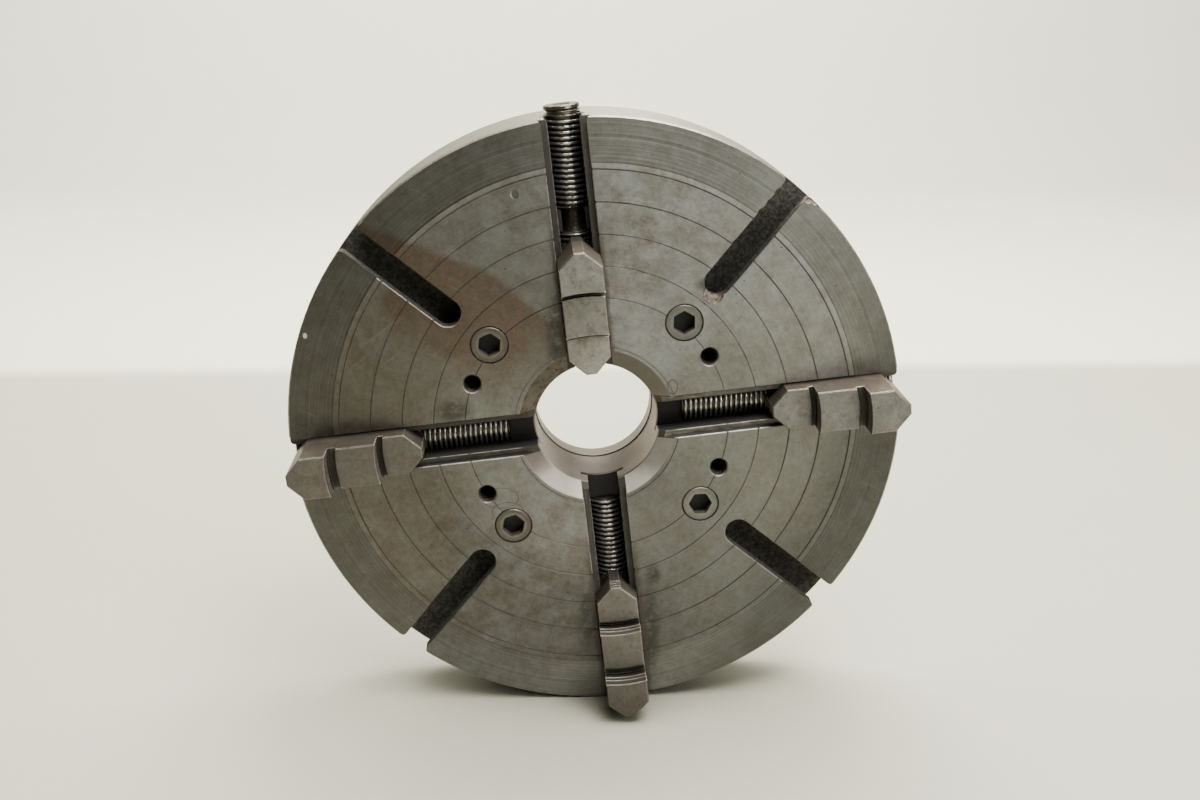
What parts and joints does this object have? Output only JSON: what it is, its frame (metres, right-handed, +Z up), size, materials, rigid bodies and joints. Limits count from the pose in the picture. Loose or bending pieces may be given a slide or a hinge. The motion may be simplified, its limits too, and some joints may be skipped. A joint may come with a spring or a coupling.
{
  "type": "independent-jaw lathe chuck",
  "caption": "Large independent-jaw lathe chuck: round slotted iron body on a spindle adapter plate, with stepped reversible jaws driven by radial screws.",
  "frame": {"origin": "centre of the adapter plate's rear face, where it seats on the spindle nose", "axes": "+Y along the spindle axis towards the headstock, so the working face looks along -Y; +Z up as the chuck stands on its rim"},
  "size_m": [0.5, 0.149, 0.5069],
  "materials": {
    "machined_iron": "finely turned, worn and oil-stained cast iron",
    "adapter_iron": "turned cast iron",
    "jaw_steel": "ground hardened steel, worn, edges bright",
    "screw_steel": "oily dark steel with bright crests",
    "block_steel": "ground steel",
    "cap_screw_steel": "ground flush, sockets dark",
    "black_steel": "black oxide"
  },
  "bodies": {
    "chuck": {"chuck_body": "machined_iron", "adapter_plate": "adapter_iron", "thrust_block_right": "block_steel", "thrust_block_top": "block_steel", "thrust_block_left": "block_steel", "thrust_block_bottom": "block_steel", "thrust_block_screws_right": "black_steel", "thrust_block_screws_top": "black_steel", "thrust_block_screws_left": "black_steel", "thrust_block_screws_bottom": "black_steel", "mounting_screw_1": "cap_screw_steel", "mounting_screw_2": "cap_screw_steel", "mounting_screw_3": "cap_screw_steel", "mounting_screw_4": "cap_screw_steel"},
    "jaw_right": {"jaw_right": "jaw_steel"},
    "screw_right": {"jaw_screw_right": "screw_steel"},
    "jaw_top": {"jaw_top": "jaw_steel"},
    "screw_top": {"jaw_screw_top": "screw_steel"},
    "jaw_left": {"jaw_left": "jaw_steel"},
    "screw_left": {"jaw_screw_left": "screw_steel"},
    "jaw_bottom": {"jaw_bottom": "jaw_steel"},
    "screw_bottom": {"jaw_screw_bottom": "screw_steel"}
  },
  "joints": [
    {"name": "screw_right_turn", "type": "hinge", "parent": "chuck", "child": "screw_right", "pos_m": [0, -0.068, 0], "axis": [0.9939, 0, 0.1104], "range_deg": [-11394, 3230]},
    {"name": "jaw_right_slide", "type": "slide", "parent": "chuck", "child": "jaw_right", "axis": [0.9939, 0, 0.1104], "range_m": [-0.134, 0.038]},
    {"name": "screw_top_turn", "type": "hinge", "parent": "chuck", "child": "screw_top", "pos_m": [0, -0.068, 0], "axis": [-0.1104, 0, 0.9939], "range_deg": [-3485, 11139]},
    {"name": "jaw_top_slide", "type": "slide", "parent": "chuck", "child": "jaw_top", "axis": [-0.1104, 0, 0.9939], "range_m": [-0.041, 0.131]},
    {"name": "screw_left_turn", "type": "hinge", "parent": "chuck", "child": "screw_left", "pos_m": [0, -0.068, 0], "axis": [-0.9939, 0, -0.1104], "range_deg": [-11419, 3205]},
    {"name": "jaw_left_slide", "type": "slide", "parent": "chuck", "child": "jaw_left", "axis": [-0.9939, 0, -0.1104], "range_m": [-0.1343, 0.0377]},
    {"name": "screw_bottom_turn", "type": "hinge", "parent": "chuck", "child": "screw_bottom", "pos_m": [0, -0.068, 0], "axis": [0.1104, 0, -0.9939], "range_deg": [-11088, 3536]},
    {"name": "jaw_bottom_slide", "type": "slide", "parent": "chuck", "child": "jaw_bottom", "axis": [0.1104, 0, -0.9939], "range_m": [-0.1304, 0.0416]}
  ],
  "couplings": [
    {"joint": "jaw_right_slide", "follows": "screw_right_turn", "m_per_rad": 0.00067375},
    {"joint": "jaw_top_slide", "follows": "screw_top_turn", "m_per_rad": 0.00067375},
    {"joint": "jaw_left_slide", "follows": "screw_left_turn", "m_per_rad": 0.00067375},
    {"joint": "jaw_bottom_slide", "follows": "screw_bottom_turn", "m_per_rad": 0.00067375}
  ]
}
